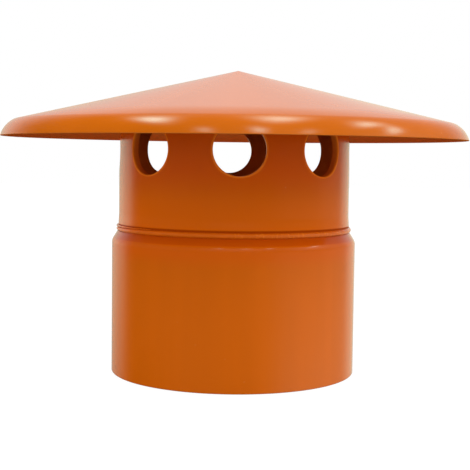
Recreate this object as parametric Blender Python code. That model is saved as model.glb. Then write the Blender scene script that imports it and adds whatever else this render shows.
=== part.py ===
"""Roof vent cap of orange plastic, the cowl that closes the top of a vent pipe.

A shallow conical hood with a turned-down lip sits on a short pipe. A ring of round holes, drilled
through that pipe just under the hood, lets the air out and keeps the rain off. A wider collar is
slipped over the pipe's lower end and welded on with a plastic bead. Its open half takes the end of
the vent pipe, which stops against the short pipe's lower end.

The origin is the centre of the collar's foot, +Z is up and one vent hole faces -Y.
"""

import math

import bmesh
import bpy
from mathutils import Matrix, Vector

# Driving dimensions, in metres and degrees. Each one can be changed by itself.
PIPE_DIAMETER = 0.100        # outside of the vent pipe, and of the short pipe under the hood
TUBE_WALL = 0.003
TUBE_INSERT = 0.012          # how far the short pipe stands in the collar
SOCKET_CLEARANCE = 0.0003    # between the pipe's outside and the collar's bore, on the radius
JOINT_GAP = 0.0003           # left between pieces that are glued or welded face to face

COLLAR_LENGTH = 0.0606
COLLAR_WALL = 0.0027
COLLAR_CHAMFER_RUN = 0.0023  # the chamfer round the collar's top, measured inwards
COLLAR_CHAMFER_RISE = 0.0026
COLLAR_LEAD_IN = 0.0008      # the small chamfer that guides the pipe into the foot

BEAD_HEIGHT = 0.0031
BEAD_PROUD = 0.0011          # how far the bead stands out from the short pipe

HOOD_DIAMETER = 0.200
HOOD_WALL = 0.003
HOOD_SLOPE = 13.5            # of the cone, below the horizontal
HOOD_TIP_RADIUS = 0.003
HOOD_BREAK_RADIUS = 0.005    # first bend, from the cone to BREAK_ANGLE
HOOD_BREAK_ANGLE = 30.0
HOOD_LIP_RADIUS = 0.0112     # second bend, from BREAK_ANGLE to LIP_ANGLE
HOOD_LIP_ANGLE = 74.5
HOOD_STAND_OFF = 0.0404      # from the collar's top to the lip's level lower edge

HOLE_COUNT = 8
HOLE_DIAMETER = 0.0215
HOLE_RISE = 0.0356           # from the collar's top to the holes' centres
DRILL_OVERRUN = 0.004        # how far a drill runs past the wall on both sides

# The holes are drilled by hand, so each one is turned by a degree or so from its even place.
HOLE_DRIFT = (0.8, -0.5, 0.4, -1.0, 1.6, -1.4, -0.6, 0.1)

# Fineness of the faceted solids.
SEGMENTS = 80
HOLE_SEGMENTS = 28
TIP_STEPS = 2
BREAK_STEPS = 2
LIP_STEPS = 6
BEAD_STEPS = 6
SHARP_ANGLE = 30.0
MERGE_DISTANCE = 1e-6

ORANGE = (0.60, 0.13, 0.010)
WELD_ORANGE = (0.66, 0.17, 0.020)

# Sizes that follow from the driving dimensions.
TUBE_RADIUS = PIPE_DIAMETER / 2
TUBE_BORE = TUBE_RADIUS - TUBE_WALL
TUBE_FOOT = COLLAR_LENGTH - TUBE_INSERT
COLLAR_BORE = TUBE_RADIUS + SOCKET_CLEARANCE
COLLAR_RADIUS = COLLAR_BORE + COLLAR_WALL
HOOD_RADIUS = HOOD_DIAMETER / 2
LIP_LEVEL = COLLAR_LENGTH + HOOD_STAND_OFF
HOLE_LEVEL = COLLAR_LENGTH + HOLE_RISE


def clear_scene():
    """Removes whatever the file holds, so that only this part is left."""
    for thing in list(bpy.data.objects):
        bpy.data.objects.remove(thing, do_unlink=True)


def plastic(name, colour, roughness):
    """One moulded plastic as a Principled material."""
    material = bpy.data.materials.new(name)
    material.use_nodes = True
    shader = material.node_tree.nodes["Principled BSDF"]
    shader.inputs["Base Color"].default_value = (*colour, 1.0)
    shader.inputs["Roughness"].default_value = roughness
    shader.inputs["Metallic"].default_value = 0.0
    return material


def arc(centre, radius, start, end, steps):
    """Points (r, z) along a bend, where an angle is the slope of the surface below the horizontal."""
    points = []
    for step in range(steps + 1):
        angle = math.radians(start + (end - start) * step / steps)
        points.append((centre[0] + radius * math.sin(angle), centre[1] + radius * math.cos(angle)))
    return points


def turned_mesh(name, profile, closed):
    """Turns a profile of (r, z) points about the Z axis into a closed body.

    A closed profile gives a ring. An open one starts and ends on the axis.
    """
    shape = bmesh.new()
    points = [shape.verts.new((r, 0.0, z)) for r, z in profile]
    ends = points[1:] + points[:1] if closed else points[1:]
    edges = [shape.edges.new(pair) for pair in zip(points, ends)]
    bmesh.ops.spin(shape, geom=points + edges, cent=(0, 0, 0), axis=(0, 0, 1),
                   angle=2 * math.pi, steps=SEGMENTS, use_merge=True)
    bmesh.ops.remove_doubles(shape, verts=shape.verts, dist=MERGE_DISTANCE)
    bmesh.ops.recalc_face_normals(shape, faces=shape.faces)
    mesh = bpy.data.meshes.new(name)
    shape.to_mesh(mesh)
    shape.free()
    mesh.shade_smooth()
    mesh.set_sharp_from_angle(angle=math.radians(SHARP_ANGLE))
    return mesh


def add_piece(name, mesh, material, height, parent):
    """Puts a piece of the part in the scene, with its own datum at the given height."""
    piece = bpy.data.objects.new(name, mesh)
    mesh.materials.append(material)
    piece.location = (0, 0, height)
    piece.parent = parent
    bpy.context.collection.objects.link(piece)
    return piece


def hood_bends():
    """Centres of the hood's two bends and the height of its sharp apex, above the lip's lower edge."""
    lip, bend = math.radians(HOOD_LIP_ANGLE), math.radians(HOOD_BREAK_ANGLE)
    slope = math.radians(HOOD_SLOPE)
    lip_centre = (HOOD_RADIUS - HOOD_LIP_RADIUS * math.sin(lip), -HOOD_LIP_RADIUS * math.cos(lip))
    inwards = HOOD_LIP_RADIUS - HOOD_BREAK_RADIUS
    break_centre = (lip_centre[0] + inwards * math.sin(bend), lip_centre[1] + inwards * math.cos(bend))
    cone_edge = (break_centre[0] + HOOD_BREAK_RADIUS * math.sin(slope),
                 break_centre[1] + HOOD_BREAK_RADIUS * math.cos(slope))
    apex = cone_edge[1] + cone_edge[0] * math.tan(slope)
    return lip_centre, break_centre, apex


def hood_underside(radius):
    """Height of the cone's underside at a radius, above the lip's lower edge."""
    slope = math.radians(HOOD_SLOPE)
    return hood_bends()[2] - HOOD_WALL / math.cos(slope) - radius * math.tan(slope)


def hood_profile():
    """Down the hood's outside from the tip to the lip, and back up its underside."""
    lip_centre, break_centre, apex = hood_bends()
    tip_centre = (0.0, apex - HOOD_TIP_RADIUS / math.cos(math.radians(HOOD_SLOPE)))
    outside = arc(tip_centre, HOOD_TIP_RADIUS, 0.0, HOOD_SLOPE, TIP_STEPS)
    outside += arc(break_centre, HOOD_BREAK_RADIUS, HOOD_SLOPE, HOOD_BREAK_ANGLE, BREAK_STEPS)
    outside += arc(lip_centre, HOOD_LIP_RADIUS, HOOD_BREAK_ANGLE, HOOD_LIP_ANGLE, LIP_STEPS)[1:]
    # The lip is trimmed level, so the underside's bend ends where it meets the level of the edge.
    inner_lip = HOOD_LIP_RADIUS - HOOD_WALL
    trim_angle = math.degrees(math.acos(-lip_centre[1] / inner_lip))
    underside = arc(lip_centre, inner_lip, trim_angle, HOOD_BREAK_ANGLE, LIP_STEPS)
    underside += arc(break_centre, HOOD_BREAK_RADIUS - HOOD_WALL,
                     HOOD_BREAK_ANGLE, HOOD_SLOPE, BREAK_STEPS)[1:]
    underside.append((0.0, hood_underside(0.0)))
    return outside + underside


def make_hood(parent):
    """The thin conical hood with its rounded, turned-down lip."""
    mesh = turned_mesh("hood", hood_profile(), closed=False)
    return add_piece("hood", mesh, plastic("hood_orange", ORANGE, 0.18), LIP_LEVEL, parent)


def tube_top(radius):
    """Height of the short pipe's upper end, which follows the underside of the hood."""
    gap = JOINT_GAP / math.cos(math.radians(HOOD_SLOPE))
    return LIP_LEVEL + hood_underside(radius) - gap - TUBE_FOOT


def hole_drills(parent):
    """The drills that make the ring of vent holes, as one cutter."""
    reach_in = TUBE_BORE - DRILL_OVERRUN
    reach_out = TUBE_RADIUS + DRILL_OVERRUN
    length = reach_out - reach_in
    shape = bmesh.new()
    for index in range(HOLE_COUNT):
        drift = HOLE_DRIFT[index % len(HOLE_DRIFT)]
        turn = Matrix.Rotation(math.radians(360.0 * index / HOLE_COUNT + drift), 4, "Z")
        place = Matrix.Translation(Vector((0, -(reach_in + length / 2), HOLE_LEVEL - TUBE_FOOT)))
        lay_down = Matrix.Rotation(math.radians(90.0), 4, "X")
        bmesh.ops.create_cone(shape, cap_ends=True, segments=HOLE_SEGMENTS, depth=length,
                              radius1=HOLE_DIAMETER / 2, radius2=HOLE_DIAMETER / 2,
                              matrix=turn @ place @ lay_down)
    mesh = bpy.data.meshes.new("hole_drills")
    shape.to_mesh(mesh)
    shape.free()
    drills = bpy.data.objects.new("hole_drills", mesh)
    drills.parent = parent
    drills.hide_render = True
    drills.display_type = "WIRE"
    bpy.context.collection.objects.link(drills)
    return drills


def make_vent_tube(parent):
    """The short pipe with its ring of vent holes, coped to the hood at its upper end."""
    profile = [(TUBE_BORE, 0.0), (TUBE_RADIUS, 0.0),
               (TUBE_RADIUS, tube_top(TUBE_RADIUS)), (TUBE_BORE, tube_top(TUBE_BORE))]
    mesh = turned_mesh("vent_tube", profile, closed=True)
    tube = add_piece("vent_tube", mesh, plastic("tube_orange", ORANGE, 0.20), TUBE_FOOT, parent)
    cut = tube.modifiers.new("vent_holes", "BOOLEAN")
    cut.operation = "DIFFERENCE"
    cut.solver = "EXACT"
    cut.object = hole_drills(tube)
    return tube


def make_socket_collar(parent):
    """The wider sleeve that takes the end of the vent pipe."""
    profile = [(COLLAR_BORE + COLLAR_LEAD_IN, 0.0), (COLLAR_RADIUS, 0.0),
               (COLLAR_RADIUS, COLLAR_LENGTH - COLLAR_CHAMFER_RISE),
               (COLLAR_RADIUS - COLLAR_CHAMFER_RUN, COLLAR_LENGTH),
               (COLLAR_BORE, COLLAR_LENGTH), (COLLAR_BORE, COLLAR_LEAD_IN)]
    mesh = turned_mesh("socket_collar", profile, closed=True)
    return add_piece("socket_collar", mesh, plastic("collar_orange", ORANGE, 0.22), 0.0, parent)


def make_weld_bead(parent):
    """The bead of weld plastic in the corner between the short pipe and the collar's top."""
    inner = TUBE_RADIUS + JOINT_GAP
    thickness = BEAD_PROUD - JOINT_GAP
    profile = []
    for step in range(BEAD_STEPS + 1):
        angle = math.radians(180.0 * step / BEAD_STEPS)
        profile.append((inner + thickness * math.sin(angle), BEAD_HEIGHT / 2 * (1 - math.cos(angle))))
    mesh = turned_mesh("weld_bead", profile, closed=True)
    material = plastic("weld_orange", WELD_ORANGE, 0.35)
    return add_piece("weld_bead", mesh, material, COLLAR_LENGTH + JOINT_GAP, parent)


def main():
    """Builds the whole part under one empty."""
    clear_scene()
    cap = bpy.data.objects.new("roof_vent_cap", None)
    bpy.context.collection.objects.link(cap)
    make_hood(cap)
    make_vent_tube(cap)
    make_socket_collar(cap)
    make_weld_bead(cap)


main()
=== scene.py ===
"""Looks of a roof vent cap of orange plastic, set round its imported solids.

A shallow conical hood with a turned-down lip sits on a short pipe with a ring of drilled holes. A wider
collar is welded on below it, and takes the end of the vent pipe. Four finer pieces stand for the four
solids: the hood and the collar are turned from their sections, the pipe is laid out in one panel for each
hole, and the weld follows its own path round the joint. The file is laid out as an add-on and run as a
script.
"""

import math

import bmesh
import bpy
from bpy.props import FloatProperty, FloatVectorProperty, IntProperty, PointerProperty
from mathutils import Matrix, Vector


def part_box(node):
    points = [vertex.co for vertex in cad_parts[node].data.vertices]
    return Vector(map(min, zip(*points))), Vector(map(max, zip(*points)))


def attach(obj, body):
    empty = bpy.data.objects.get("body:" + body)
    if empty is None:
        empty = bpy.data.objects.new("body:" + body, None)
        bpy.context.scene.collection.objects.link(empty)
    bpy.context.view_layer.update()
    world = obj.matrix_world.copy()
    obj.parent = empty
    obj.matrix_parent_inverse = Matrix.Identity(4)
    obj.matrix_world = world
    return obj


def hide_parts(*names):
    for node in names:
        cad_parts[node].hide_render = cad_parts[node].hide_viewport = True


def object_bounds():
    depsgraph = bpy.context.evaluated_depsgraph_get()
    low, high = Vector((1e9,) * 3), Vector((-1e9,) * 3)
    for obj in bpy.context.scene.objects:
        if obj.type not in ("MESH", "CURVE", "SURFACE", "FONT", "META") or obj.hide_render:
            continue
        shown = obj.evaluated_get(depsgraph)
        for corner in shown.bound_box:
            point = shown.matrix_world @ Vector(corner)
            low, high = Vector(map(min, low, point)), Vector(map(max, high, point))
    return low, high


bl_info = {
    "name": "Roof vent cap",
    "version": (1, 0, 0),
    "blender": (4, 5, 0),
    "location": "3D Viewport > Sidebar > Vent Cap",
    "description": "Makes a plastic roof vent cap with its hood, pierced pipe, collar and weld, and a stage",
    "category": "Object",
}

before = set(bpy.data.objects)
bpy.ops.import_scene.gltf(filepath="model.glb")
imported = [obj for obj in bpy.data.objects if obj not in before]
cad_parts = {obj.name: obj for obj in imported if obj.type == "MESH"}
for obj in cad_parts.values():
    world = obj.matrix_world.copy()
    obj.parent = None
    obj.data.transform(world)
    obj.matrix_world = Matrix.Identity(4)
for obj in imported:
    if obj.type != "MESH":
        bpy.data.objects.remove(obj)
CAD_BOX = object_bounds()
HOOD_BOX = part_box("hood")
PIPE_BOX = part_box("vent_tube")
COLLAR_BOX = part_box("socket_collar")
WELD_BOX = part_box("weld_bead")

BODY = "root"

# Each hole is turned from its even place by a degree or so, because the holes are drilled by hand.
# The first one faces the front (-Y), and the others follow towards +X.
HOLE_DRIFT = (1.05, 0.0, 0.4, -1.0, 1.6, -1.4, -0.6, -0.75)

MERGE_DISTANCE = 2e-6
SUPPORT = 0.0004             # a row of points this far from a bend keeps the shading of a long face even
LONGEST_FACE = 0.006         # along a section
RING_RADIUS = 0.1            # of the ring that a section is swept along, before it is moved to its own radius
STRAND_SIDES = 24            # faces round the weld's strand
BLUNT_END = 0.04             # angle over which the strand's ends are rounded off, in radians
FLARE_STEPS = 8              # faces down the spread of the pipe above the weld
PRESSED_SHARE = 0.9          # share of the hood's radius at which the shift of its tip has faded out
SENSOR = 36.0                # width of the camera's sensor in millimetres


def length(name, description, default):
    """A size in metres, with the range of a part that is held in the hand."""
    return FloatProperty(name=name, description=description, default=default, min=0.0, soft_max=0.5,
                         precision=5, subtype="DISTANCE", unit="LENGTH")


def angle(name, description, degrees):
    """An angle that is set in degrees."""
    return FloatProperty(name=name, description=description, default=math.radians(degrees),
                         subtype="ANGLE", unit="ROTATION")


def share(name, description, default):
    """A value from 0 to 1."""
    return FloatProperty(name=name, description=description, default=default, min=0.0, max=1.0,
                         subtype="FACTOR")


def amount(name, description, default):
    """A plain number."""
    return FloatProperty(name=name, description=description, default=default)


def count(name, description, default):
    """A whole number of things."""
    return IntProperty(name=name, description=description, default=default, min=1)


def colour(name, description, default):
    """A linear colour."""
    return FloatVectorProperty(name=name, description=description, default=default, size=3,
                               min=0.0, max=1.0, subtype="COLOR")


class VentCapHoodSizes(bpy.types.PropertyGroup):
    """Sizes of the hood, from the outside of its sheet."""

    radius: length("Radius", "From the axis to the lip", HOOD_BOX[1].x + 0.00004)
    lip_level: length("Lip Level", "Height of the lip's lower edge", HOOD_BOX[0].z + 0.0001)
    wall: length("Wall", "Thickness of the sheet", 0.003)
    slope: angle("Slope", "Of the cone, below the horizontal", 13.44)
    tip_radius: length("Tip Radius", "Rounding of the cone's tip", 0.0015)
    break_radius: length("Break Radius", "First bend, at the foot of the cone", 0.005)
    break_angle: angle("Break Angle", "Slope where the first bend ends", 30.0)
    lip_radius: length("Lip Radius", "Second bend, that turns the lip down", 0.0114)
    lip_angle: angle("Lip Angle", "Slope where the lip ends", 73.4)
    edge: length("Edge Rounding", "Of the lip's outer corner, where it is trimmed", 0.00015)
    inner_edge: length("Inner Edge Rounding", "Of the lip's inner corner", 0.0005)
    roll_start: length("Roll Start", "Radius where the sheet begins to bend towards the first bend", 0.079)
    roll: angle("Roll", "How much the sheet has bent where the first bend begins", 7.0)
    roll_peak: length("Roll Peak", "How far in from the lip the sheet has bent the most", 0.0065)
    roll_end: length("Roll End", "How far in from the lip that slow bend has run out", 0.0051)
    off_centre: length("Off Centre", "How far to the right the tip was pressed", 0.0012)
    segments: count("Segments", "Faces round the hood", 288)


class VentCapPipeSizes(bpy.types.PropertyGroup):
    """Sizes of the short pipe under the hood and of its ring of holes."""

    radius: length("Radius", "Outside of the pipe", PIPE_BOX[1].x)
    wall: length("Wall", "Thickness of the pipe", 0.003)
    foot: length("Foot", "Height of the lower end, inside the collar", PIPE_BOX[0].z)
    crown: length("Crown", "Height of the upper end's inner corner, under the hood", PIPE_BOX[1].z)
    holes: count("Holes", "Round the pipe", 8)
    hole_diameter: length("Hole Diameter", "Of each vent hole", 0.0211)
    hole_level: length("Hole Level", "Height of the holes' centres", COLLAR_BOX[1].z + 0.0356)
    hole_edge: length("Hole Edge", "Rounding of the holes' outer edge", 0.00045)
    flare: length("Flare", "How far the pipe spreads where it was heated for the weld", 0.00025)
    flare_rise: length("Flare Rise", "Height over which the pipe narrows again", 0.0052)
    panel_foot: length("Panel Foot", "Height down to which the holes' panels reach", 0.0790)
    columns: count("Columns", "Faces along each side of a hole's square panel", 24)


class VentCapCollarSizes(bpy.types.PropertyGroup):
    """Sizes of the socket collar."""

    radius: length("Radius", "Outside of the collar", COLLAR_BOX[1].x)
    height: length("Height", "Of the collar", COLLAR_BOX[1].z + 0.0006)
    wall: length("Wall", "Thickness of the collar", 0.0027)
    chamfer_run: length("Chamfer Run", "Of the chamfer round the top, measured inwards", 0.0025)
    chamfer_rise: length("Chamfer Rise", "Of the chamfer round the top, measured upwards", 0.0040)
    shoulder: length("Shoulder", "Rounding between the chamfer and the side", 0.0040)
    lead_in: length("Lead-in", "Small chamfer inside the foot", 0.0008)
    edge: length("Edge Rounding", "Of the collar's corners", 0.0004)
    segments: count("Segments", "Faces round the collar", 256)


class VentCapWeldSizes(bpy.types.PropertyGroup):
    """Sizes of the weld between the pipe and the collar."""

    foot: length("Foot", "Height of the weld's lower edge, on the collar", COLLAR_BOX[1].z + 0.0007)
    top: length("Top", "Height of the weld's upper edge, on the pipe", WELD_BOX[1].z - 0.0002)
    reach: length("Reach", "Radius of the weld's outer face", WELD_BOX[1].x)
    depth: length("Depth", "How far in the weld's strand reaches from its outer face", 0.0022)
    start: angle("Start", "Where the strand begins, from the front towards the right", -104.0)
    overlap: angle("Overlap", "How far the strand runs past its own start", 62.0)
    calm: angle("Calm", "How far the strand runs evenly before it turns lumpy", 100.0)
    lumps: length("Lumps", "Height of the strand's lumps", 0.00030)
    rows: count("Rows", "Faces along the strand", 2200)


class VentCapFinish(bpy.types.PropertyGroup):
    """Colours and gloss of the plastics, and the heights where painted light and shade on them change."""

    hood: colour("Hood", "Orange of the hood", (0.632, 0.136, 0.0016))
    pipe: colour("Pipe", "Orange of the short pipe", (0.798, 0.145, 0.0004))
    collar: colour("Collar", "Orange of the collar", (0.772, 0.147, 0.0014))
    weld: colour("Weld", "Orange of the weld", (0.880, 0.165, 0.0050))
    index: amount("Refraction", "Index of refraction of the plastic", 1.5)
    hood_roughness: share("Hood Roughness", "Of the moulded hood", 0.10)
    pipe_roughness: share("Pipe Roughness", "Of the drawn pipe", 0.085)
    collar_roughness: share("Collar Roughness", "Of the collar", 0.105)
    weld_roughness: share("Weld Roughness", "Of the melted strand", 0.14)
    # These heights bound bands of painted light and shade on the pipe and the collar.
    lit_below: length("Lit Below", "Height below which the pipe is lighter", 0.078)
    shaded_above: length("Shaded Above", "Height above which the pipe lies in the hood's shade", 0.082)
    crease: length("Crease", "Height of the dark crease along the weld's upper edge", 0.001)
    warmer_above: length("Warmer Above", "Height above which the collar's shoulder is warmer", 0.052)
    chamfer_foot: length("Chamfer Foot", "Height above which the collar lies in the weld's shade", 0.0583)


class VentCapStage(bpy.types.PropertyGroup):
    """The camera, the floor and the studio's light."""

    azimuth: angle("Azimuth", "Of the camera, from the front towards the right", -1.35)
    distance: length("Distance", "From the axis to the camera", 0.4627)
    camera_height: length("Camera Height", "Above the floor", 0.09288)
    pitch: angle("Pitch", "Of the camera, below the horizontal", 4.173)
    roll: angle("Roll", "Of the camera about its own axis", 0.697)
    pan: angle("Pan", "Turn of the camera away from the axis", -0.078)
    lens: amount("Lens", "Focal length in millimetres, on a sensor 36 mm wide", 80.93)
    floor: length("Floor", "Half the width of the floor", 3.0)
    floor_share: share("Floor Share", "Of the light that the floor sends back up", 0.3)
    key: amount("Key", "Power of the large soft lamp in watts", 7.85)
    gloss_tint: colour("Gloss Tint", "Of the studio as it shows in gloss", (1.0, 0.97, 0.96))
    side_tint: colour("Side Tint", "Of the studio's level parts as they show in gloss", (0.97, 1.0, 0.76))
    lamp_tint: colour("Lamp Tint", "Of the soft lamps, as seen in gloss", (0.57, 1.0, 0.87))
    matt: FloatVectorProperty(name="Matt", default=(0.105, 0.868, -0.871), subtype="XYZ",
                              description="Growth of the light on matt faces towards +X, +Y and up")
    matt_base: amount("Matt Base", "The light on matt faces that comes evenly from all sides", 1.875)


class VentCapSettings(bpy.types.PropertyGroup):
    """All that a user of the part would change."""

    hood: PointerProperty(type=VentCapHoodSizes)
    pipe: PointerProperty(type=VentCapPipeSizes)
    collar: PointerProperty(type=VentCapCollarSizes)
    weld: PointerProperty(type=VentCapWeldSizes)
    finish: PointerProperty(type=VentCapFinish)
    stage: PointerProperty(type=VentCapStage)


def settings():
    """The part's settings in the current scene."""
    return bpy.context.scene.vent_cap


# Node trees, written as plain arithmetic.

class Wire:
    """A value that runs through a node tree. Arithmetic on it adds the nodes that work it out."""

    def __init__(self, tree, socket):
        self.tree = tree
        self.socket = socket

    def math(self, operation, *others):
        """A Math node on this value and the others."""
        node = put(self.tree, "ShaderNodeMath", operation=operation)
        for socket, value in zip(node.inputs, (self, *others)):
            feed(self.tree, socket, value)
        return Wire(self.tree, node.outputs[0])

    def __add__(self, other):
        return self.math("ADD", other)

    def __sub__(self, other):
        return self.math("SUBTRACT", other)

    def __mul__(self, other):
        return self.math("MULTIPLY", other)

    def __truediv__(self, other):
        return self.math("DIVIDE", other)

    def __rsub__(self, other):
        return (self - other) * -1.0

    def between(self, low, high):
        """This value held between two limits."""
        return self.math("MAXIMUM", low).math("MINIMUM", high)

    def towards(self, other, part):
        """A value part of the way from this one to the other."""
        return self + (other - self) * part

    def ramp(self, start, end, low=0.0, high=1.0):
        """Goes smoothly from low to high while this value goes from start to end."""
        node = put(self.tree, "ShaderNodeMapRange",
                   {"Value": self, "From Min": start, "From Max": end, "To Min": low, "To Max": high},
                   interpolation_type="SMOOTHSTEP")
        return Wire(self.tree, node.outputs[0])


def feed(tree, socket, value):
    """Links a wire or a socket to an input, or writes a plain value into it."""
    if isinstance(value, Wire):
        value = value.socket
    if isinstance(value, bpy.types.NodeSocket):
        tree.links.new(value, socket)
    else:
        socket.default_value = value


def put(tree, kind, inputs=None, **options):
    """Adds a node with its options and its inputs, which are named or numbered."""
    node = tree.nodes.new(kind)
    spot = len(tree.nodes) - 1
    node.location = (220 * (spot // 5), -230 * (spot % 5))
    for name, value in options.items():
        setattr(node, name, value)
    for name, value in (inputs or {}).items():
        feed(tree, node.inputs[name], value)
    return node


def wire(tree, kind, inputs=None, output=0, **options):
    """Adds a node and gives one of its outputs as a wire."""
    return Wire(tree, put(tree, kind, inputs, **options).outputs[output])


def split(tree, vector):
    """The three parts of a vector, each as a wire."""
    node = put(tree, "ShaderNodeSeparateXYZ", {"Vector": vector})
    return [Wire(tree, socket) for socket in node.outputs]


def join(tree, x, y, z):
    """A vector from its three parts."""
    return put(tree, "ShaderNodeCombineXYZ", {"X": x, "Y": y, "Z": z}).outputs[0]


def new_group(name, kind, inputs, outputs):
    """An empty node group, its inputs as wires by their names, and its outputs.

    An input is given by its default, or by its kind where it has none.
    """
    tree = bpy.data.node_groups.new(name, kind)
    for label, default in inputs.items():
        is_number = isinstance(default, (int, float))
        socket_kind = type(default).__name__.title() if is_number else default
        socket = tree.interface.new_socket(label, in_out="INPUT", socket_type="NodeSocket" + socket_kind)
        if is_number:
            socket.default_value = default
    for label, socket_kind in outputs.items():
        tree.interface.new_socket(label, in_out="OUTPUT", socket_type="NodeSocket" + socket_kind)
    given = {socket.name: Wire(tree, socket) for socket in put(tree, "NodeGroupInput").outputs if socket.name}
    return tree, given, put(tree, "NodeGroupOutput").inputs


def attribute(tree, name):
    """Reads a named attribute of the geometry."""
    return wire(tree, "GeometryNodeInputNamedAttribute", {"Name": name}, data_type="FLOAT")


def store(tree, geometry, name, value):
    """Writes a named attribute on the geometry's points."""
    return wire(tree, "GeometryNodeStoreNamedAttribute",
                {"Geometry": geometry, "Name": name, "Value": value}, data_type="FLOAT", domain="POINT")


def sewn(tree, geometry):
    """Closes the seams, where points lie on each other."""
    return wire(tree, "GeometryNodeMergeByDistance", {"Geometry": geometry, "Distance": MERGE_DISTANCE})


def moved(tree, geometry, place):
    """Puts each point in its own place."""
    return wire(tree, "GeometryNodeSetPosition", {"Geometry": geometry, "Position": place})


def finish_tree(tree, results, geometry, material):
    """Ends a tree: one smooth mesh, with no instance left, in its material."""
    whole = wire(tree, "GeometryNodeRealizeInstances", {"Geometry": geometry})
    smooth = wire(tree, "GeometryNodeSetShadeSmooth", {"Geometry": whole})
    dressed = wire(tree, "GeometryNodeSetMaterial", {"Geometry": smooth, "Material": material})
    feed(tree, results["Piece"], dressed)
    return tree


def turning_tree():
    """Sweeps a section, drawn in the XZ plane, round the Z axis."""
    tree, given, results = new_group(
        "turned_piece", "GeometryNodeTree",
        {"Section": "Geometry", "Segments": 64, "Material": "Material"}, {"Piece": "Geometry"})
    section = wire(tree, "GeometryNodeMeshToCurve", {"Mesh": given["Section"]})
    laid = wire(tree, "GeometryNodeTransform",
                {"Geometry": section, "Rotation": (math.pi / 2, 0, 0), "Translation": (-RING_RADIUS, 0, 0)})
    ring = wire(tree, "GeometryNodeCurvePrimitiveCircle",
                {"Resolution": given["Segments"], "Radius": RING_RADIUS})
    level = wire(tree, "GeometryNodeSetCurveNormal", {"Curve": ring}, mode="Z_UP")
    swept = sewn(tree, wire(tree, "GeometryNodeCurveToMesh", {"Curve": level, "Profile Curve": laid}))
    # Faces that look down are marked for a painted reflection: the hood's material gives them a paler, greyer
    # colour in place of their gloss.
    facing = split(tree, wire(tree, "GeometryNodeInputNormal"))[2]
    marked = store(tree, swept, "underside", facing.ramp(0.02, 0.22, 1.0, 0.0))
    return finish_tree(tree, results, marked, given["Material"])


def square_side(along):
    """Runs round a square's edge: its value goes from 1 to -1 and back, with a rest at each end."""
    return (2.0 - along.math("WRAP", 4.0, -4.0).math("ABSOLUTE")).between(-1.0, 1.0)


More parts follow.
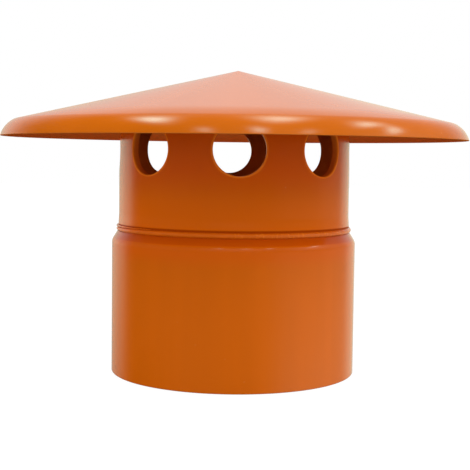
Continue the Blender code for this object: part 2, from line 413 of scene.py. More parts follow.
def pierced_tree(turned):
    """Lays one panel of wall round each hole mark and closes the pipe's ends.

    A panel is a grid. Its columns run round the hole, and its rows follow the section's points, which give
    the distance from the hole's axis, the share of the way out to the panel's square border, and the
    distance from the pipe's axis.
    """
    tree, given, results = new_group(
        "pierced_pipe", "GeometryNodeTree",
        {"Hole Marks": "Geometry", "Section": "Object", "Ends": "Object", "Columns": 24, "Holes": 8,
         "Outer Radius": 0.05, "Hole Edge": 0.001, "Rim Height": 0.1, "Rim Slope": 0.2, "Panel Foot": 0.05,
         "Material": "Material"},
        {"Piece": "Geometry"})
    pitch = wire(tree, "ShaderNodeMath", {0: 2 * math.pi, 1: given["Holes"]}, operation="DIVIDE")

    # The grid of one panel, with its place in the grid kept on its points.
    section = wire(tree, "GeometryNodeObjectInfo", {"Object": given["Section"]}, output="Geometry")
    rows = wire(tree, "GeometryNodeAttributeDomainSize", {"Geometry": section}, component="MESH")
    around = given["Columns"] * 4.0
    grid = wire(tree, "GeometryNodeMeshGrid", {"Vertices X": around + 1.0, "Vertices Y": rows})
    index = wire(tree, "GeometryNodeInputIndex")
    column = (index / rows + 1e-5).math("FLOOR")
    row = index - column * rows
    panel = store(tree, grid, "turn", column / around)
    panel = store(tree, panel, "row", row)

    # One panel for each mark. The marks' own places say where the holes are.
    mark_x, mark_y, mark_z = split(tree, wire(tree, "GeometryNodeInputPosition"))
    marks = store(tree, given["Hole Marks"], "hole_azimuth", mark_y.math("ARCTAN2", mark_x))
    marks = store(tree, marks, "hole_height", mark_z)
    copies = wire(tree, "GeometryNodeInstanceOnPoints", {"Points": marks, "Instance": panel})
    loose = wire(tree, "GeometryNodeRealizeInstances", {"Geometry": copies})

    # Where each point of a panel goes.
    sample = put(tree, "GeometryNodeSampleIndex", {"Geometry": section, "Index": attribute(tree, "row")},
                 data_type="FLOAT_VECTOR")
    feed(tree, sample.inputs["Value"], wire(tree, "GeometryNodeInputPosition"))
    from_hole, outwards, from_axis = split(tree, sample.outputs[0])
    turn = attribute(tree, "turn")
    hole_azimuth = attribute(tree, "hole_azimuth")
    hole_height = attribute(tree, "hole_height")
    panel_azimuth = (hole_azimuth / pitch).math("ROUND") * pitch
    side_x = square_side(turn * 8.0)
    side_z = square_side(turn * 8.0 - 2.0)
    inwards = given["Outer Radius"] - from_axis
    rim = inwards * given["Rim Slope"] + given["Rim Height"]
    border_x = (panel_azimuth + side_x * pitch * 0.5 - hole_azimuth).math("SINE") * from_axis
    border_z = given["Panel Foot"].towards(rim, side_z * 0.5 + 0.5)
    angle_round = turn * (2 * math.pi)
    across = (from_hole * angle_round.math("COSINE")).towards(border_x, outwards)
    height = (hole_height + from_hole * angle_round.math("SINE")).towards(border_z, outwards)
    azimuth = hole_azimuth + (across / from_axis).math("ARCSINE")
    place = join(tree, from_axis * azimuth.math("COSINE"), from_axis * azimuth.math("SINE"), height)
    at_hole = outwards.ramp(0.0, 0.06, 1.0, 0.0)
    depth = inwards / given["Hole Edge"]
    # Painted highlight on the holes' rounded outer edges.
    wall = store(tree, moved(tree, loose, place), "eased", at_hole * depth.ramp(0.85, 1.25, 1.0, 0.0))
    # Painted shade on the holes' walls.
    wall = store(tree, wall, "sawn", at_hole * depth.ramp(0.85, 1.25))
    # Painted shade on the pipe's inner face.
    wall = store(tree, wall, "inside", depth.ramp(2.3, 2.7))

    # The plain part of the pipe and its ends are turned, on the same columns.
    ends = wire(tree, "GeometryNodeObjectInfo", {"Object": given["Ends"]}, output="Geometry")
    plain = put(tree, "GeometryNodeGroup", node_tree=turned)
    feed(tree, plain.inputs["Section"], ends)
    feed(tree, plain.inputs["Segments"], given["Columns"] * given["Holes"])
    both = put(tree, "GeometryNodeJoinGeometry")
    for part in (wall, plain.outputs[0]):
        feed(tree, both.inputs[0], part)
    return finish_tree(tree, results, sewn(tree, both.outputs[0]), given["Material"])


def weld_tree():
    """A strand of melted plastic laid round the joint, which runs on past its own start.

    Where it overlaps, its start is the lower strand and widens, and its end is the upper one and thins out.
    """
    tree, given, results = new_group(
        "weld_strand", "GeometryNodeTree",
        {"Rows": 600, "Outer Radius": 0.05, "Foot": 0.06, "Top": 0.063, "Depth": 0.002, "Start": 0.0,
         "Overlap": 1.0, "Calm": 1.0, "Lumps": 0.0002, "Seed": 3.0, "Material": "Material"},
        {"Piece": "Geometry"})
    foot, overlap, seed = given["Foot"], given["Overlap"], given["Seed"]
    grid = wire(tree, "GeometryNodeMeshGrid", {"Vertices X": given["Rows"], "Vertices Y": STRAND_SIDES + 1})
    index = wire(tree, "GeometryNodeInputIndex")
    row = ((index + 0.5) / (STRAND_SIDES + 1.0)).math("FLOOR")
    side = index - row * (STRAND_SIDES + 1.0)
    sweep = overlap + 2 * math.pi
    travelled = row / (given["Rows"] - 1.0) * sweep
    azimuth = travelled + given["Start"]
    left = sweep - travelled
    height = given["Top"] - foot

    # The shares of the weld's height that the strand takes, low at its start and high at its end.
    at_start, on_its_way, at_end, on_its_start = 0.45, 0.8, 0.12, 0.55
    start_share = (travelled / overlap).ramp(0.0, 1.0, at_start, on_its_way)
    end_share = (left / overlap).ramp(0.0, 1.0, at_end, on_its_start)
    landed = (left / overlap).ramp(1.0, 1.3)
    blunt = (travelled.math("MINIMUM", left) / BLUNT_END).between(0.0, 1.0)
    closing = (blunt * (2.0 - blunt)).math("SQRT")
    tall = start_share.math("MINIMUM", end_share + landed * (1.0 - on_its_start)) * height * closing
    low = tall * 0.5 + foot
    high = height + foot - tall * 0.5
    rise = low.towards(high, (left / overlap).ramp(1.0, 1.6, 1.0, 0.0))
    thick = (tall / height).math("SQRT") * given["Depth"]

    # The lumps are short and lie across the strand, and come and go along it.
    angle_round = side / float(STRAND_SIDES) * (2 * math.pi)
    outwards, upwards = angle_round.math("COSINE"), angle_round.math("SINE")
    patchy = wire(tree, "ShaderNodeTexNoise", {"W": travelled * 1.7 + seed, "Scale": 1.0},
                  noise_dimensions="1D").ramp(0.38, 0.60, 0.35, 1.0)
    patchy = patchy * (travelled / given["Calm"]).ramp(0.9, 1.1, 0.25, 1.0)
    cell = join(tree, travelled * 78.0, outwards * 0.55, upwards * 0.55)
    bumps = wire(tree, "ShaderNodeTexNoise", {"Vector": cell, "Scale": 1.0, "Detail": 2.0}) - 0.5
    slow = wire(tree, "ShaderNodeTexNoise", {"W": travelled * 6.0 + seed, "Scale": 1.0},
                noise_dimensions="1D") - 0.5
    ridge = bumps * patchy * 2.0
    swell = (ridge + slow * 0.7) * given["Lumps"] * (tall / height).between(0.0, 1.0)
    reach = given["Outer Radius"] - thick * 0.5 + outwards * (thick * 0.5 + swell)
    up = rise + upwards * (tall * 0.5 + swell * 0.6)
    place = join(tree, reach * azimuth.math("COSINE"), reach * azimuth.math("SINE"), up)
    # The lumps' crests are kept as a mask, which carries painted highlights in the weld's colour.
    strand = store(tree, moved(tree, grid, place), "ridge", ridge.ramp(0.0, 0.35))
    return finish_tree(tree, results, sewn(tree, strand), given["Material"])


# Sections, as lists of (radius, height) points.

def bend(centre, radius, start, end, steps):
    """Points along a bend. An angle is the slope of the surface below the horizontal, in radians."""
    points = []
    for step in range(steps + 1):
        slope = start + (end - start) * step / steps
        points.append((centre[0] + radius * math.sin(slope), centre[1] + radius * math.cos(slope)))
    return points


def rounded(points, radii, steps, closed=True):
    """A polyline with its corners rounded, where each corner has its own radius."""
    result = []
    last = len(points) - 1
    for place, (corner, radius) in enumerate(zip(points, radii)):
        if radius == 0 or (not closed and place in (0, last)):
            result.append(corner)
            continue
        here = Vector(corner)
        back = (Vector(points[place - 1]) - here).normalized()
        on = (Vector(points[(place + 1) % len(points)]) - here).normalized()
        half = back.angle(on) / 2
        centre = here + (back + on).normalized() * radius / math.sin(half)
        first = here + back * radius / math.tan(half) - centre
        turn = first.angle_signed(here + on * radius / math.tan(half) - centre)
        for step in range(steps + 1):
            spoke = Matrix.Rotation(-turn * step / steps, 2) @ first
            result.append(tuple(centre + spoke))
    return result


def supported(points, closed):
    """Adds points close to both ends of each long run, and along it, so that its shading stays even."""
    result = []
    for place, start in enumerate(points):
        result.append(start)
        if place == len(points) - 1 and not closed:
            break
        end = points[(place + 1) % len(points)]
        run = math.dist(start, end)
        if run < 4 * SUPPORT:
            continue
        steps = max(1, math.ceil((run - 2 * SUPPORT) / LONGEST_FACE))
        for step in range(steps + 1):
            part = (SUPPORT + (run - 2 * SUPPORT) * step / steps) / run
            result.append(tuple(a + (b - a) * part for a, b in zip(start, end)))
    return result


def section_mesh(name, lines):
    """A mesh of edges from lists of (x, y, z) points, each with a flag that says if it closes on itself."""
    points, edges = [], []
    for line, closed in lines:
        first = len(points)
        points += line
        edges += [(first + k, first + k + 1) for k in range(len(line) - 1)]
        if closed:
            edges.append((len(points) - 1, first))
    mesh = bpy.data.meshes.new(name)
    mesh.from_pydata(points, edges, [])
    return mesh


def upright(points):
    """Points (radius, height) set in the XZ plane."""
    return [(x, 0.0, z) for x, z in points]


def hood_section(hood):
    """Down the hood's outside from the tip to the lip, and back up its underside."""
    lip_centre = (hood.radius - hood.lip_radius * math.sin(hood.lip_angle),
                  hood.lip_level - hood.lip_radius * math.cos(hood.lip_angle))
    inwards = hood.lip_radius - hood.break_radius
    break_centre = (lip_centre[0] + inwards * math.sin(hood.break_angle),
                    lip_centre[1] + inwards * math.cos(hood.break_angle))
    cone_x = break_centre[0] + hood.break_radius * math.sin(hood.slope)
    cone_z = break_centre[1] + hood.break_radius * math.cos(hood.slope)
    apex = cone_z + cone_x * math.tan(hood.slope)
    tip_centre = (0.0, apex - hood.tip_radius / math.cos(hood.slope))
    cone = bend(tip_centre, hood.tip_radius, 0.0, hood.slope, steps=6)
    cone += bend(break_centre, hood.break_radius, hood.slope, hood.break_angle, steps=8)
    cone += bend(lip_centre, hood.lip_radius, hood.break_angle, hood.lip_angle, steps=22)[1:]

    # The lip is trimmed level, and both corners of its edge are eased.
    inner_lip = hood.lip_radius - hood.wall
    trim = math.acos((hood.lip_level - lip_centre[1]) / inner_lip)
    under = bend(lip_centre, inner_lip, trim, hood.break_angle, steps=16)
    under += bend(break_centre, hood.break_radius - hood.wall, hood.break_angle, hood.slope, steps=6)[1:]
    under.append((0.0, apex - hood.wall / math.cos(hood.slope)))
    corners = [cone[-2], cone[-1], under[0], under[1]]
    edge = rounded(corners, (0, hood.edge, hood.inner_edge, 0), steps=5, closed=False)[1:-1]
    outline = cone[:-1] + edge + under[1:]
    return supported(outline, closed=False)


def collar_section(collar):
    """Round the collar's section, from the foot's inner edge."""
    bore = collar.radius - collar.wall
    top = collar.height
    points = [(bore + collar.lead_in, 0.0), (collar.radius, 0.0),
              (collar.radius, top - collar.chamfer_rise), (collar.radius - collar.chamfer_run, top),
              (bore, top), (bore, collar.lead_in)]
    radii = (0.0, collar.edge, collar.shoulder, 0.0, 0.0, 0.0)
    return supported(rounded(points, radii, steps=9), closed=True)


def hole_section(pipe):
    """From a panel's border over the outside to the hole, through the hole and back along the inside.

    Each point gives the distance from the hole's axis, the share of the way out to the border, and the
    distance from the pipe's axis.
    """
    hole = pipe.hole_diameter / 2
    bore = pipe.radius - pipe.wall
    burr = pipe.hole_edge / 3
    shares = (1.0, 0.8, 0.62, 0.46, 0.32, 0.2, 0.11, 0.05, 0.02)
    outside = [(hole + pipe.hole_edge, out, pipe.radius) for out in shares]
    for step in range(7):
        slope = math.radians(90.0 + 90.0 * step / 6)
        outside.append((hole + pipe.hole_edge * (1 + math.cos(slope)), 0.0,
                        pipe.radius - pipe.hole_edge * (1 - math.sin(slope))))
    inside = [(hole, 0.0, bore + (pipe.wall - pipe.hole_edge) * 0.5), (hole, 0.0, bore + burr + SUPPORT)]
    for step in range(4):
        slope = math.radians(180.0 + 90.0 * step / 3)
        inside.append((hole + burr * (1 + math.cos(slope)), 0.0, bore + burr * (1 + math.sin(slope))))
    inside += [(hole + burr, out, bore) for out in reversed(shares)]
    return outside + inside


# Making and placing the pieces.

def placed(name, data):
    """A new object in the scene."""
    thing = bpy.data.objects.new(name, data)
    bpy.context.scene.collection.objects.link(thing)
    return thing


def grown(name, tree, inputs, mesh):
    """Runs a tree on a mesh and keeps the result as a plain mesh at the origin."""
    piece = placed(name, mesh)
    modifier = piece.modifiers.new("shape", "NODES")
    modifier.node_group = tree
    names = {item.name: item.identifier for item in tree.interface.items_tree if item.in_out == "INPUT"}
    for label, value in inputs.items():
        modifier[names[label]] = value
    graph = bpy.context.evaluated_depsgraph_get()
    result = bpy.data.meshes.new_from_object(piece.evaluated_get(graph))
    piece.modifiers.remove(modifier)
    piece.data = result
    result.name = name
    bpy.data.meshes.remove(mesh)
    result.materials.clear()
    result.materials.append(inputs["Material"])
    result.polygons.foreach_set("material_index", [0] * len(result.polygons))
    close_skin(result)
    return piece


def close_skin(mesh):
    """Turns the faces outwards, and stops the script if the skin is open anywhere."""
    shape = bmesh.new()
    shape.from_mesh(mesh)
    bmesh.ops.recalc_face_normals(shape, faces=shape.faces)
    gaps = sum(not edge.is_manifold for edge in shape.edges)
    if gaps:
        raise RuntimeError(f"the skin of {mesh.name} has {gaps} open edges")
    if shape.calc_volume(signed=True) < 0:
        bmesh.ops.reverse_faces(shape, faces=shape.faces)
    shape.to_mesh(mesh)
    shape.free()
    for name in ("turn", "row", "hole_azimuth", "hole_height"):
        if name in mesh.attributes:
            mesh.attributes.remove(mesh.attributes[name])


def settle(piece, node):
    """Fixes a finished piece to the part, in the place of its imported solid."""
    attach(piece, BODY)
    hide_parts(node)


# Finishes.

# Painted light and shade on parts of a piece: the gain of its colour, and the share of its gloss that stays.
# Downward faces of the hood: paler and greyer, without gloss, a painted reflection.
UNDERSIDE_REFLECTION = ((0.97, 1.2, 15.0), 0.0)
# Walls of the holes: painted shade, darker and greyer, without gloss.
HOLE_WALL_SHADE = ((0.68, 1.1, 60.0), 0.0)
# Rounded outer edges of the holes: painted highlight, lighter and without gloss.
HOLE_EDGE_HIGHLIGHT = ((1.25, 1.7, 40.0), 0.0)
# Inner face of the pipe: painted shade, darker and greyer, without gloss.
BORE_SHADE = ((0.90, 1.0, 30.0), 0.0)
# Along the weld's upper edge: painted shade of the crease.
CREASE_SHADE = ((0.55, 0.38, 0.2), 0.0)
# Lower part of the pipe: painted light, lighter away from the hood's shade.
LOWER_PIPE_LIGHT = ((1.07, 1.05, 1.0), 1.0)
# Upper part of the pipe: painted shade of the hood, redder.
UPPER_PIPE_SHADE = ((1.0, 0.8, 0.8), 1.0)
# Shoulder of the collar: painted light, a warmer tint.
SHOULDER_LIGHT = ((1.05, 0.9, 1.0), 1.0)
# Chamfer of the collar: painted shade under the weld, darker.
CHAMFER_SHADE = ((0.76, 0.5, 0.5), 1.0)
# Crests of the weld's lumps: painted highlights, lighter and paler.
RIDGE_HIGHLIGHTS = ((1.15, 1.35, 1.6), 1.0)
DUST = (0.85, 0.40, 0.16, 1.0)


def swell_group():
    """Slow unevenness that a moulded or drawn plastic face has under its gloss."""
    tree, given, results = new_group(
        "slow_swell", "ShaderNodeTree",
        {"Place": "Vector", "Per Metre": 40.0},
        {"Height": "Float"})
    noise = wire(tree, "ShaderNodeTexNoise",
                 {"Vector": given["Place"], "Scale": given["Per Metre"], "Detail": 1.0, "Roughness": 0.4})
    feed(tree, results["Height"], noise)
    return tree


def lines_group():
    """Fine lines along the axis, left by the die that the pipe was drawn through."""
    tree, given, results = new_group(
        "drawn_lines", "ShaderNodeTree", {"Place": "Vector", "Lines": 40.0, "Along": 8.0},
        {"Height": "Float", "Broad": "Float"})
    x, y, z = split(tree, given["Place"])
    outwards = wire(tree, "ShaderNodeVectorMath", {0: join(tree, x, y, 0.0)}, operation="NORMALIZE")
    unit_x, unit_y, _ = split(tree, outwards)
    for result, lines, noise in (("Height", given["Lines"], {"Detail": 4.0, "Roughness": 0.6}),
                                 ("Broad", given["Lines"] * 0.08, {"Detail": 2.0})):
        cell = join(tree, unit_x * lines, unit_y * lines, z * given["Along"])
        feed(tree, results[result], wire(tree, "ShaderNodeTexNoise", {"Vector": cell, "Scale": 1.0, **noise}))
    return tree


def handling_group():
    """Dust specks and short fine scratches, each as a mask."""
    tree, given, results = new_group(
        "handling_marks", "ShaderNodeTree",
        {"Place": "Vector", "Specks": 0.5,
         "Scratches": 0.5},
        {"Dust": "Float", "Scratch": "Float", "Dull": "Float"})
    dots = put(tree, "ShaderNodeTexVoronoi", {"Vector": given["Place"], "Scale": 260.0})
    kept = wire(tree, "ShaderNodeSeparateColor", {0: dots.outputs["Color"]}).math("GREATER_THAN", 0.93)
    dust = Wire(tree, dots.outputs["Distance"]).ramp(0.06, 0.16, 1.0, 0.0) * kept
    bent = put(tree, "ShaderNodeTexNoise", {"Vector": given["Place"], "Scale": 30.0, "Detail": 2.0})
    warped = wire(tree, "ShaderNodeVectorMath", operation="MULTIPLY_ADD",
                  inputs={0: bent.outputs["Color"], 1: (0.03, 0.03, 0.03), 2: given["Place"]})
    stretched = wire(tree, "ShaderNodeMapping",
                     {"Vector": warped, "Rotation": (0.3, 0.5, 0.2), "Scale": (900.0, 60.0, 900.0)})
    grooves = wire(tree, "ShaderNodeTexNoise", {"Vector": stretched, "Scale": 1.0, "Detail": 0.0})
    smear = wire(tree, "ShaderNodeTexNoise", {"Vector": given["Place"], "Scale": 22.0, "Detail": 4.0})
    feed(tree, results["Dust"], dust * given["Specks"])
    feed(tree, results["Scratch"], grooves.ramp(0.74, 0.80) * given["Scratches"])
    feed(tree, results["Dull"], smear.ramp(0.35, 0.70))
    return tree


def band_group():
    """A band between two heights, with soft borders."""
    tree, given, results = new_group(
        "height_band", "ShaderNodeTree",
        {"Place": "Vector", "Low": 0.0,
         "High": 1.0, "Soft": 0.0003},
        {"Band": "Float"})
    height = split(tree, given["Place"])[2]
    above = ((height - given["Low"]) / given["Soft"]).ramp(-1.0, 1.0)
    below = ((height - given["High"]) / given["Soft"]).ramp(-1.0, 1.0, 1.0, 0.0)
    feed(tree, results["Band"], above * below)
    return tree


def roll_group():
    """The slow bend of the hood's sheet that leads into the bend at the foot of the cone.

    The slope grows from the first radius to the second, and is gone again at the third.
    """
    tree, given, results = new_group(
        "rolled_rim", "ShaderNodeTree",
        {"Place": "Vector", "First": 0.08,
         "Second": 0.09, "Third": 0.1,
         "Slope": 0.1},
        {"Height": "Float"})
    x, y, _ = split(tree, given["Place"])
    radius = (x * x + y * y).math("SQRT")
    fallen = []
    for start, end in (("First", "Second"), ("Second", "Third")):
        run = given[end] - given[start]
        part = ((radius - given[start]) / run).between(0.0, 1.0)
        past = (radius - given[end]).math("MAXIMUM", 0.0)
        fallen.append(run * part * part * 0.5 + past)
    feed(tree, results["Height"], (fallen[1] - fallen[0]) * given["Slope"])
    return tree


GROUP_MAKERS = {"slow_swell": swell_group, "drawn_lines": lines_group, "handling_marks": handling_group,
                "height_band": band_group, "rolled_rim": roll_group}


def effect(tree, name, inputs):
    """Places a shared effect in a material, and gives its outputs by name."""
    group = bpy.data.node_groups.get(name) or GROUP_MAKERS[name]()
    node = put(tree, "ShaderNodeGroup", node_tree=group)
    for label, value in inputs.items():
        feed(tree, node.inputs[label], value)
    return {socket.name: Wire(tree, socket) for socket in node.outputs}


def blend_colours(tree, part, first, second):
    """Goes from one colour to another by a mask."""
    node = put(tree, "ShaderNodeMix", data_type="RGBA")
    for name, value in (("Factor_Float", part), ("A_Color", first), ("B_Color", second)):
        socket = next(s for s in node.inputs if s.identifier == name)
        feed(tree, socket, value)
    return next(s for s in node.outputs if s.identifier == "Result_Color")


def rgba(colour, gain=1.0):
    """A colour with its alpha, made lighter or darker."""
    return (*(min(1.0, part * gain) for part in colour), 1.0)


def plastic(piece, lines=0.0, swell=0.0, specks=0.5, marks=(), bands=(), rolled=None):
    """The plastic of one piece: its colour under its gloss, with lines, slow swells, dust and fine scratches.

    Marks are masks that the geometry carries. Bands lie between two heights, with borders of some softness.
    Both paint light and shade into the colour, and some of them take the gloss away.
    """
    finish = settings().finish
    base = getattr(finish, piece)
    material = bpy.data.materials.new(f"{piece}_orange")
    material.use_nodes = True
    tree = material.node_tree
    shader = tree.nodes["Principled BSDF"]
    shader.inputs["IOR"].default_value = finish.index
    place = put(tree, "ShaderNodeTexCoord").outputs["Object"]
    handled = effect(tree, "handling_marks", {"Place": place, "Specks": specks, "Scratches": 0.6})
    drawn = effect(tree, "drawn_lines", {"Place": place, "Lines": 60.0, "Along": 6.0})
    shape = effect(tree, "slow_swell", {"Place": place, "Per Metre": 45.0})

    shade = drawn["Broad"].ramp(0.3, 0.7) * 0.6 + handled["Dull"] * 0.4
    tint = blend_colours(tree, shade, rgba(base, 0.955), rgba(base, 1.03))
    tint = blend_colours(tree, handled["Dust"] * 0.25, tint, DUST)
    dull = handled["Dull"] * 0.03 + handled["Scratch"] * 0.10 + handled["Dust"] * 0.3
    gloss = 0.5
    masks = []
    # Painted light and shade, in bands and in marks, blend into the colour and take gloss away.
    for low, high, soft, look in bands:
        band = effect(tree, "height_band", {"Place": place, "Low": low, "High": high, "Soft": soft})
        masks.append((band["Band"], look))
    for name, look in marks:
        masks.append((wire(tree, "ShaderNodeAttribute", attribute_name=name, output=2), look))
    for mask, (gain, kept) in masks:
        tint = blend_colours(tree, mask, tint, rgba([part * more for part, more in zip(base, gain)]))
        gloss = (mask * (kept - 1.0) + 1.0) * gloss
    height = drawn["Height"] * lines + shape["Height"] * swell + handled["Scratch"] * -0.000004
    if rolled:
        height = height + effect(tree, "rolled_rim", {"Place": place, **rolled})["Height"]
    bump = wire(tree, "ShaderNodeBump", {"Height": height, "Distance": 1.0, "Strength": 1.0})
    for name, value in (("Base Color", tint), ("Roughness", dull + getattr(finish, piece + "_roughness")),
                        ("Specular IOR Level", gloss), ("Normal", bump)):
        feed(tree, shader.inputs[name], value)
    return material


# The stage.

# How bright the studio shows in gloss. Each row is for one height, in degrees above the horizon, and its
# values go round in steps of 20 degrees from the back through the left, the front and the right.
STUDIO = ((-14, (0.47, 0.40, 0.38, 0.18, 0.02, 0.03, 0.07, 0.10, 0.10, 0.09, 0.14, 0.45, 0.78, 0.82,
                 0.70, 0.58, 0.75, 0.71)),
          (0, (0.62, 0.72, 1.00, 0.45, 0.00, 0.00, 0.01, 0.00, 0.00, 0.00, 0.00, 0.00, 0.00, 0.02,
               0.17, 0.24, 0.80, 0.88)),
          (24, (0.90, 0.66, 0.42, 0.05, 0.00, 0.01, 0.00, 0.06, 0.25, 0.35, 0.25, 0.10, 0.35, 0.60,
                0.45, 0.25, 0.40, 0.72)),
          (50, (0.35, 0.32, 0.05, 0.00, 0.00, 0.00, 0.03, 0.05, 0.10, 0.12, 0.14, 0.14, 0.16, 0.19,
                0.21, 0.25, 0.26, 0.31)))
OVERHEAD = 0.15
DIM_BELOW = (-28.0, -15.0, 0.6, 1.0)    # between these two heights the studio goes from this share to that
SIDE_TINT_TOP = 18.0                    # up to this height the side tint gives way to the gloss tint

# Soft lamps that show as highlights on the lip: where each stands, seen from the part, half its length and
# half its width in degrees, its turn in degrees, and its radiance.
LAMPS = (((-0.339, 0.127, 0.932), 9.9, 3.0, -7, 9.8), ((0.177, 0.179, 0.968), 11.0, 3.4, 41, 6.6),
         ((0.567, 0.173, 0.805), 8.4, 2.8, -6, 6.1), ((0.773, 0.089, 0.628), 8.5, 2.3, -36, 6.5),
         ((-0.218, -0.649, 0.729), 7.8, 2.1, 78, 4.0), ((0.144, -0.632, 0.761), 8.6, 1.9, 95, 6.8),
         ((0.471, -0.571, 0.672), 7.0, 1.9, 115, 3.2))
KEY_PLACE = (0.5, -1.1, 1.3)
KEY_SIZE = 1.2
KEY_AIM = 0.85                          # share of the part's height
FLOOR_SHADOW = 0.10                     # matt share that the camera sees, so that shadows show faintly
FLOOR_GLOW = 0.94


def round_curve(tree, azimuth, values):
    """A smooth curve through values that go once round, from the back."""
    curve_node = put(tree, "ShaderNodeFloatCurve", {"Value": azimuth / (2 * math.pi) + 0.5})
    curve = curve_node.mapping.curves[0]
    for step, value in enumerate(values[1:], start=1):
        curve.points.new(step / len(values), value)
    curve.points[0].location = (0.0, values[0])
    curve.points[len(curve.points) - 1].location = (1.0, values[0])
    for point in curve.points:
        point.handle_type = "AUTO_CLAMPED"
    curve_node.mapping.update()
    return Wire(tree, curve_node.outputs[0])


def soft_lamp(tree, direction, place, half_length, half_width, turn, radiance):
    """A lamp with soft borders, as a radiance that depends on the direction."""
    facing = Vector(place).normalized()
    level = facing.cross(Vector((0, 0, 1))).normalized()
    upward = level.cross(facing)
    turn = math.radians(turn)
    spread = []
    for axis, half in ((level * math.cos(turn) + upward * math.sin(turn), half_length),
                       (upward * math.cos(turn) - level * math.sin(turn), half_width)):
        along = wire(tree, "ShaderNodeVectorMath", {0: direction, 1: axis / math.radians(half)},
                     output="Value", operation="DOT_PRODUCT")
        spread.append(along * along)
    near = wire(tree, "ShaderNodeVectorMath", {0: direction, 1: facing}, output="Value",
                operation="DOT_PRODUCT").math("GREATER_THAN", 0.5)
    return ((spread[0] + spread[1]) * -0.5).math("EXPONENT") * near * radiance


def studio_world(stage):
    """The studio's light: white to the camera, soft on matt faces, and uneven in gloss."""
    world = bpy.data.worlds.new("studio")
    world.use_nodes = True
    tree = world.node_tree
    tree.nodes.clear()
    direction = put(tree, "ShaderNodeTexCoord").outputs["Generated"]
    x, y, z = split(tree, direction)
    azimuth = x.math("ARCTAN2", y * -1.0)
    elevation = z.between(-1.0, 1.0).math("ARCSINE") * (180 / math.pi)
    rows = [(height, round_curve(tree, azimuth, values)) for height, values in STUDIO]
    rows.append((90, OVERHEAD))
    seen = rows[0][1]
    for (low, _), (high, row) in zip(rows[:-1], rows[1:]):
        seen = seen.towards(row, ((elevation - low) / (high - low)).between(0.0, 1.0))
    seen = seen * elevation.ramp(*DIM_BELOW)
    matt = x * stage.matt[0] + y * stage.matt[1] + z * stage.matt[2] + stage.matt_base
    path = put(tree, "ShaderNodeLightPath").outputs
    value = matt.towards(seen, path["Is Glossy Ray"])
    value = value.towards(1.0, path["Is Camera Ray"])
    risen = elevation.ramp(0.0, SIDE_TINT_TOP)
    tint = blend_colours(tree, risen, rgba(stage.side_tint), rgba(stage.gloss_tint))
    warm = blend_colours(tree, path["Is Glossy Ray"], (1.0, 1.0, 1.0, 1.0), tint)
    light = wire(tree, "ShaderNodeBackground", {"Color": warm, "Strength": value})
    shine = soft_lamp(tree, direction, *LAMPS[0])
    for lamp in LAMPS[1:]:
        shine = shine + soft_lamp(tree, direction, *lamp)
    lamps = wire(tree, "ShaderNodeBackground",
                 {"Color": rgba(stage.lamp_tint), "Strength": shine * path["Is Glossy Ray"]})
    put(tree, "ShaderNodeOutputWorld", {"Surface": wire(tree, "ShaderNodeAddShader", {0: light, 1: lamps})})
    bpy.context.scene.world = world


def make_floor(stage):
    """A plain white floor under the part, with only a breath of shadow."""
    size = stage.floor
    corners = [(-size, -size, 0), (size, -size, 0), (size, size, 0), (-size, size, 0)]
    mesh = bpy.data.meshes.new("floor")
    mesh.from_pydata(corners, [], [(0, 1, 2, 3)])
    floor = placed("floor", mesh)
    floor.visible_glossy = False
    material = bpy.data.materials.new("white_floor")
    material.use_nodes = True
    mesh.materials.append(material)
    tree = material.node_tree
    tree.nodes.clear()
    matt = wire(tree, "ShaderNodeBsdfDiffuse", {"Color": rgba([stage.floor_share] * 3)})
    faint = wire(tree, "ShaderNodeBsdfDiffuse", {"Color": rgba([FLOOR_SHADOW] * 3)})
    glow = wire(tree, "ShaderNodeEmission", {"Strength": FLOOR_GLOW})
    shown = wire(tree, "ShaderNodeAddShader", {0: faint, 1: glow})
    seen = put(tree, "ShaderNodeLightPath").outputs["Is Camera Ray"]
    put(tree, "ShaderNodeOutputMaterial",
        {"Surface": wire(tree, "ShaderNodeMixShader", {0: seen, 1: matt, 2: shown})})


def make_key(stage):
    """A large soft lamp above the camera, which doesn't show in the gloss."""
    data = bpy.data.lights.new("key", "AREA")
    data.shape = "DISK"
    data.size = KEY_SIZE
    data.energy = stage.key
    lamp = placed("key", data)
    lamp.visible_camera = False
    lamp.visible_glossy = False
    aim = Vector((0.0, 0.0, CAD_BOX[1].z * KEY_AIM))
    turned = (Vector(KEY_PLACE) - aim).to_track_quat("Z", "Y").to_matrix().to_4x4()
    lamp.matrix_world = Matrix.Translation(KEY_PLACE) @ turned


def make_camera(stage):
    """The photograph's viewpoint."""
    data = bpy.data.cameras.new("camera")
    data.lens = stage.lens
    data.sensor_width = SENSOR
    camera = placed("camera", data)
    place = (stage.distance * math.sin(stage.azimuth), -stage.distance * math.cos(stage.azimuth),
             stage.camera_height)
    camera.matrix_world = (Matrix.Translation(place)
                           @ Matrix.Rotation(stage.azimuth + stage.pan, 4, "Z")
                           @ Matrix.Rotation(math.pi / 2 - stage.pitch, 4, "X")
                           @ Matrix.Rotation(stage.roll, 4, "Z"))
    bpy.context.scene.camera = camera


# Operators, one for each piece and one for the stage.

class VENTCAP_OT_hood(bpy.types.Operator):
    """Make the thin conical hood with its rounded, turned-down lip"""

    bl_idname = "vent_cap.hood"
    bl_label = "Hood"

    def execute(self, context):
        hood = settings().hood
        rolled = {"First": hood.roll_start, "Second": hood.radius - hood.roll_peak,
                  "Third": hood.radius - hood.roll_end, "Slope": hood.roll}
        # The hood's downward faces carry a painted reflection in place of their gloss.
        material = plastic("hood", swell=0.00006, marks=[("underside", UNDERSIDE_REFLECTION)], rolled=rolled)
        section = section_mesh("hood_section", [(upright(hood_section(hood)), False)])
        piece = grown("hood_shell", turning_tree(),
                      {"Segments": hood.segments, "Material": material}, section)
        for point in piece.data.vertices:
            out = min(1.0, math.hypot(point.co.x, point.co.y) / (hood.radius * PRESSED_SHARE))
            point.co.x += hood.off_centre * (1.0 - out)
        settle(piece, "hood")
        return {"FINISHED"}


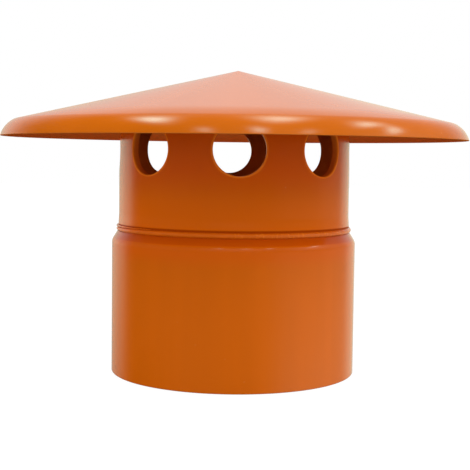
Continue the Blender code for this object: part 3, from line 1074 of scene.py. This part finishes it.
class VENTCAP_OT_pipe(bpy.types.Operator):
    """Make the short pipe with its ring of vent holes"""

    bl_idname = "vent_cap.pipe"
    bl_label = "Vent Pipe"

    def execute(self, context):
        pipe, finish, slope = settings().pipe, settings().finish, settings().hood.slope
        weld_top, crease = settings().weld.top, finish.crease / 2
        # Painted light and shade on the pipe: highlights on the holes' edges, shade in the holes, in the
        # bore, in the weld's crease and high under the hood, and light low down.
        material = plastic(
            "pipe", lines=0.000012, swell=0.00004,
            marks=[("sawn", HOLE_WALL_SHADE), ("inside", BORE_SHADE), ("eased", HOLE_EDGE_HIGHLIGHT)],
            bands=[(0.0, finish.lit_below, 0.006, LOWER_PIPE_LIGHT),
                   (weld_top - crease, weld_top + crease, 0.0003, CREASE_SHADE),
                   (finish.shaded_above, CAD_BOX[1].z, 0.007, UPPER_PIPE_SHADE)])
        bore = pipe.radius - pipe.wall
        rim = pipe.crown - pipe.wall * math.tan(slope)
        marks = []
        for hole in range(pipe.holes):
            turn = math.radians(360.0 * hole / pipe.holes + HOLE_DRIFT[hole % len(HOLE_DRIFT)])
            marks.append((pipe.radius * math.sin(turn), -pipe.radius * math.cos(turn), pipe.hole_level))
        flare = []
        for step in range(FLARE_STEPS + 1):
            part = step / FLARE_STEPS
            flare.append((pipe.radius + pipe.flare * (1 + math.cos(math.pi * part)) / 2,
                          weld_top + pipe.flare_rise * part))
        plain = [(bore, pipe.panel_foot), (bore, pipe.foot), (pipe.radius, pipe.foot),
                 (pipe.radius + pipe.flare, COLLAR_BOX[1].z), *flare, (pipe.radius, pipe.panel_foot)]
        top = [(pipe.radius, rim), (bore, pipe.crown)]
        section = placed("pipe_section", section_mesh("pipe_section", [(hole_section(pipe), False)]))
        ends = placed("pipe_ends", section_mesh("pipe_ends", [
            (upright(supported(plain, closed=False)), False), (upright(top), False)]))
        piece = grown("vent_pipe", pierced_tree(turning_tree()), {
            "Section": section, "Ends": ends, "Columns": pipe.columns, "Holes": pipe.holes,
            "Outer Radius": pipe.radius, "Hole Edge": pipe.hole_edge, "Rim Height": rim,
            "Rim Slope": math.tan(slope), "Panel Foot": pipe.panel_foot, "Material": material},
            section_mesh("hole_marks", [(marks, False)]))
        for scratch in (section, ends):
            bpy.data.meshes.remove(scratch.data)
        settle(piece, "vent_tube")
        return {"FINISHED"}


class VENTCAP_OT_collar(bpy.types.Operator):
    """Make the wider collar that takes the end of the vent pipe"""

    bl_idname = "vent_cap.collar"
    bl_label = "Socket Collar"

    def execute(self, context):
        collar, finish = settings().collar, settings().finish
        # Painted shade on the chamfer under the weld, and warmer painted light on the shoulder.
        material = plastic("collar", lines=0.000010, swell=0.00006, specks=0.3,
                           bands=[(finish.chamfer_foot, CAD_BOX[1].z, 0.0002, CHAMFER_SHADE),
                                  (finish.warmer_above, finish.chamfer_foot, 0.004, SHOULDER_LIGHT)])
        section = section_mesh("collar_section", [(upright(collar_section(collar)), True)])
        piece = grown("collar_sleeve", turning_tree(),
                      {"Segments": collar.segments, "Material": material}, section)
        settle(piece, "socket_collar")
        return {"FINISHED"}


class VENTCAP_OT_weld(bpy.types.Operator):
    """Lay the weld round the joint between the pipe and the collar"""

    bl_idname = "vent_cap.weld"
    bl_label = "Weld"

    def execute(self, context):
        weld = settings().weld
        # Painted highlights on the crests of the weld's lumps.
        material = plastic("weld", specks=0.2, marks=[("ridge", RIDGE_HIGHLIGHTS)])
        piece = grown("weld_strand", weld_tree(), {
            "Rows": weld.rows, "Outer Radius": weld.reach, "Foot": weld.foot, "Top": weld.top,
            "Depth": weld.depth, "Start": weld.start - math.pi / 2,
            "Overlap": weld.overlap, "Calm": weld.calm, "Lumps": weld.lumps,
            "Material": material}, bpy.data.meshes.new("weld_source"))
        settle(piece, "weld_bead")
        return {"FINISHED"}


class VENTCAP_OT_stage(bpy.types.Operator):
    """Set the floor, the studio's light and the camera"""

    bl_idname = "vent_cap.stage"
    bl_label = "Stage"

    def execute(self, context):
        stage = settings().stage
        studio_world(stage)
        make_floor(stage)
        make_key(stage)
        make_camera(stage)
        context.scene.view_settings.view_transform = "Standard"
        return {"FINISHED"}


class VENTCAP_PT_sidebar(bpy.types.Panel):
    """Lists the pieces and the sizes that go with each"""

    bl_idname = "VENTCAP_PT_sidebar"
    bl_label = "Roof Vent Cap"
    bl_space_type = "VIEW_3D"
    bl_region_type = "UI"
    bl_category = "Vent Cap"

    def draw(self, context):
        for operator, group in STEPS:
            box = self.layout.box()
            box.operator(operator.bl_idname)
            sizes = getattr(context.scene.vent_cap, group)
            for name in type(sizes).__annotations__:
                box.prop(sizes, name)
        box = self.layout.box()
        for name in VentCapFinish.__annotations__:
            box.prop(context.scene.vent_cap.finish, name)


STEPS = ((VENTCAP_OT_hood, "hood"), (VENTCAP_OT_pipe, "pipe"), (VENTCAP_OT_collar, "collar"),
         (VENTCAP_OT_weld, "weld"), (VENTCAP_OT_stage, "stage"))
CLASSES = (VentCapHoodSizes, VentCapPipeSizes, VentCapCollarSizes, VentCapWeldSizes, VentCapFinish,
           VentCapStage, VentCapSettings, *(operator for operator, _ in STEPS), VENTCAP_PT_sidebar)


def register():
    """Adds the classes and the scene's settings."""
    for kind in CLASSES:
        bpy.utils.register_class(kind)
    bpy.types.Scene.vent_cap = PointerProperty(type=VentCapSettings)


def unregister():
    """Takes them away again."""
    del bpy.types.Scene.vent_cap
    for kind in reversed(CLASSES):
        bpy.utils.unregister_class(kind)


def main():
    """Makes every piece and the stage."""
    register()
    bpy.ops.vent_cap.hood()
    bpy.ops.vent_cap.pipe()
    bpy.ops.vent_cap.collar()
    bpy.ops.vent_cap.weld()
    bpy.ops.vent_cap.stage()


if __name__ == "__main__":
    main()
